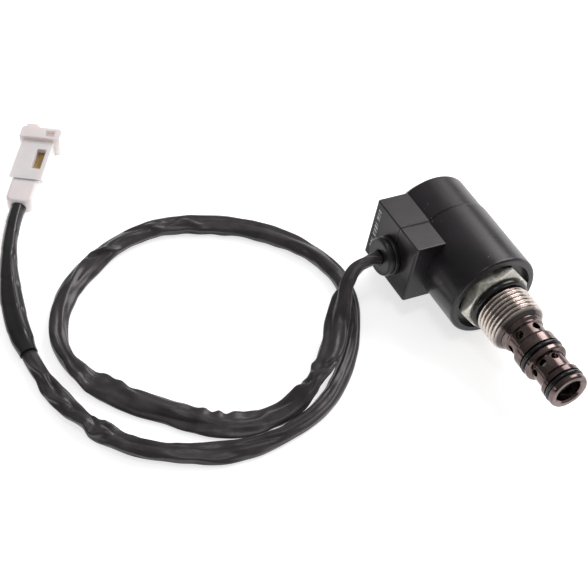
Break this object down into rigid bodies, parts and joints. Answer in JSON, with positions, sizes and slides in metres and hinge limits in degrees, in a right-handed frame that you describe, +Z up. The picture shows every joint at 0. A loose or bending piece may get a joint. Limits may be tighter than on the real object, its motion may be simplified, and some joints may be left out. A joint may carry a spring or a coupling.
{
  "type": "solenoid cartridge valve",
  "caption": "Three-way solenoid cartridge valve with a screw-in hex body, ported nose, round coil with a side block, and a sleeved flying lead that ends in a small nylon connector.",
  "frame": {"origin": "on the valve's axis, in the plane of the hex face that seats on the manifold", "axes": "+X along the axis from the coil to the nose, +Z up, with the coil lying on the surface and its block towards -Y"},
  "size_m": [0.2288, 0.1833, 0.0368],
  "materials": {
    "coil_moulding": "satin black glass-filled nylon",
    "zinc_steel": "bright zinc plate",
    "dark_steel": "bronze-brown heat-treated steel",
    "seal_rubber": "glossy black nitrile",
    "tube_steel": "drawn stainless",
    "soft_iron": "machined iron",
    "spring_steel": "bright spring wire",
    "copper": "enamelled copper",
    "bobbin_nylon": "natural nylon",
    "winding_tape": "amber film tape",
    "wire_insulation": "black PVC",
    "gland_rubber": "satin black rubber",
    "sleeve_pvc": "thin black PVC sleeving",
    "connector_nylon": "translucent natural nylon",
    "terminal_brass": "brass"
  },
  "bodies": {
    "cartridge": {"valve_body": "zinc_steel", "thread_seal": "seal_rubber", "cage": "dark_steel", "upper_nose_seal": "seal_rubber", "lower_nose_seal": "seal_rubber", "nose_retaining_ring": "spring_steel", "guide_tube": "tube_steel", "pole_piece": "soft_iron", "front_coil_seal": "seal_rubber", "rear_coil_seal": "seal_rubber", "return_spring": "spring_steel"},
    "armature": {"armature": "soft_iron", "link_pin": "tube_steel"},
    "spool": {"spool": "tube_steel"},
    "nut": {"coil_nut": "zinc_steel"},
    "coil": {"front_coil_shell": "coil_moulding", "rear_coil_shell": "coil_moulding", "yoke_sleeve": "soft_iron", "front_flux_washer": "soft_iron", "rear_flux_washer": "soft_iron", "bobbin": "bobbin_nylon", "winding": "copper", "winding_tape": "winding_tape", "lead_splice_1": "terminal_brass", "lead_splice_2": "terminal_brass", "lead_wire_1": "wire_insulation", "lead_wire_2": "wire_insulation", "cable_gland": "gland_rubber", "cable_sleeve": "sleeve_pvc", "connector_housing": "connector_nylon", "connector_holder": "connector_nylon", "terminal_1": "terminal_brass", "terminal_2": "terminal_brass"}
  },
  "joints": [
    {"name": "armature_slide", "type": "slide", "parent": "cartridge", "child": "armature", "axis": [-1, 0, 0], "range_m": [0, 0.0025], "stiffness_N_per_m": 1500, "springref_m": -0.003, "deforming": ["return_spring"]},
    {"name": "spool_slide", "type": "slide", "parent": "cartridge", "child": "spool", "axis": [-1, 0, 0], "range_m": [0, 0.0025]},
    {"name": "coil_swivel", "type": "hinge", "parent": "cartridge", "child": "coil", "pos_m": [-0.028, 0, 0], "axis": [1, 0, 0], "continuous": true},
    {"name": "nut_turn", "type": "hinge", "parent": "cartridge", "child": "nut", "pos_m": [-0.056, 0, 0], "axis": [1, 0, 0], "continuous": true}
  ],
  "couplings": [
    {"joint": "spool_slide", "follows": "armature_slide", "ratio": 1}
  ]
}
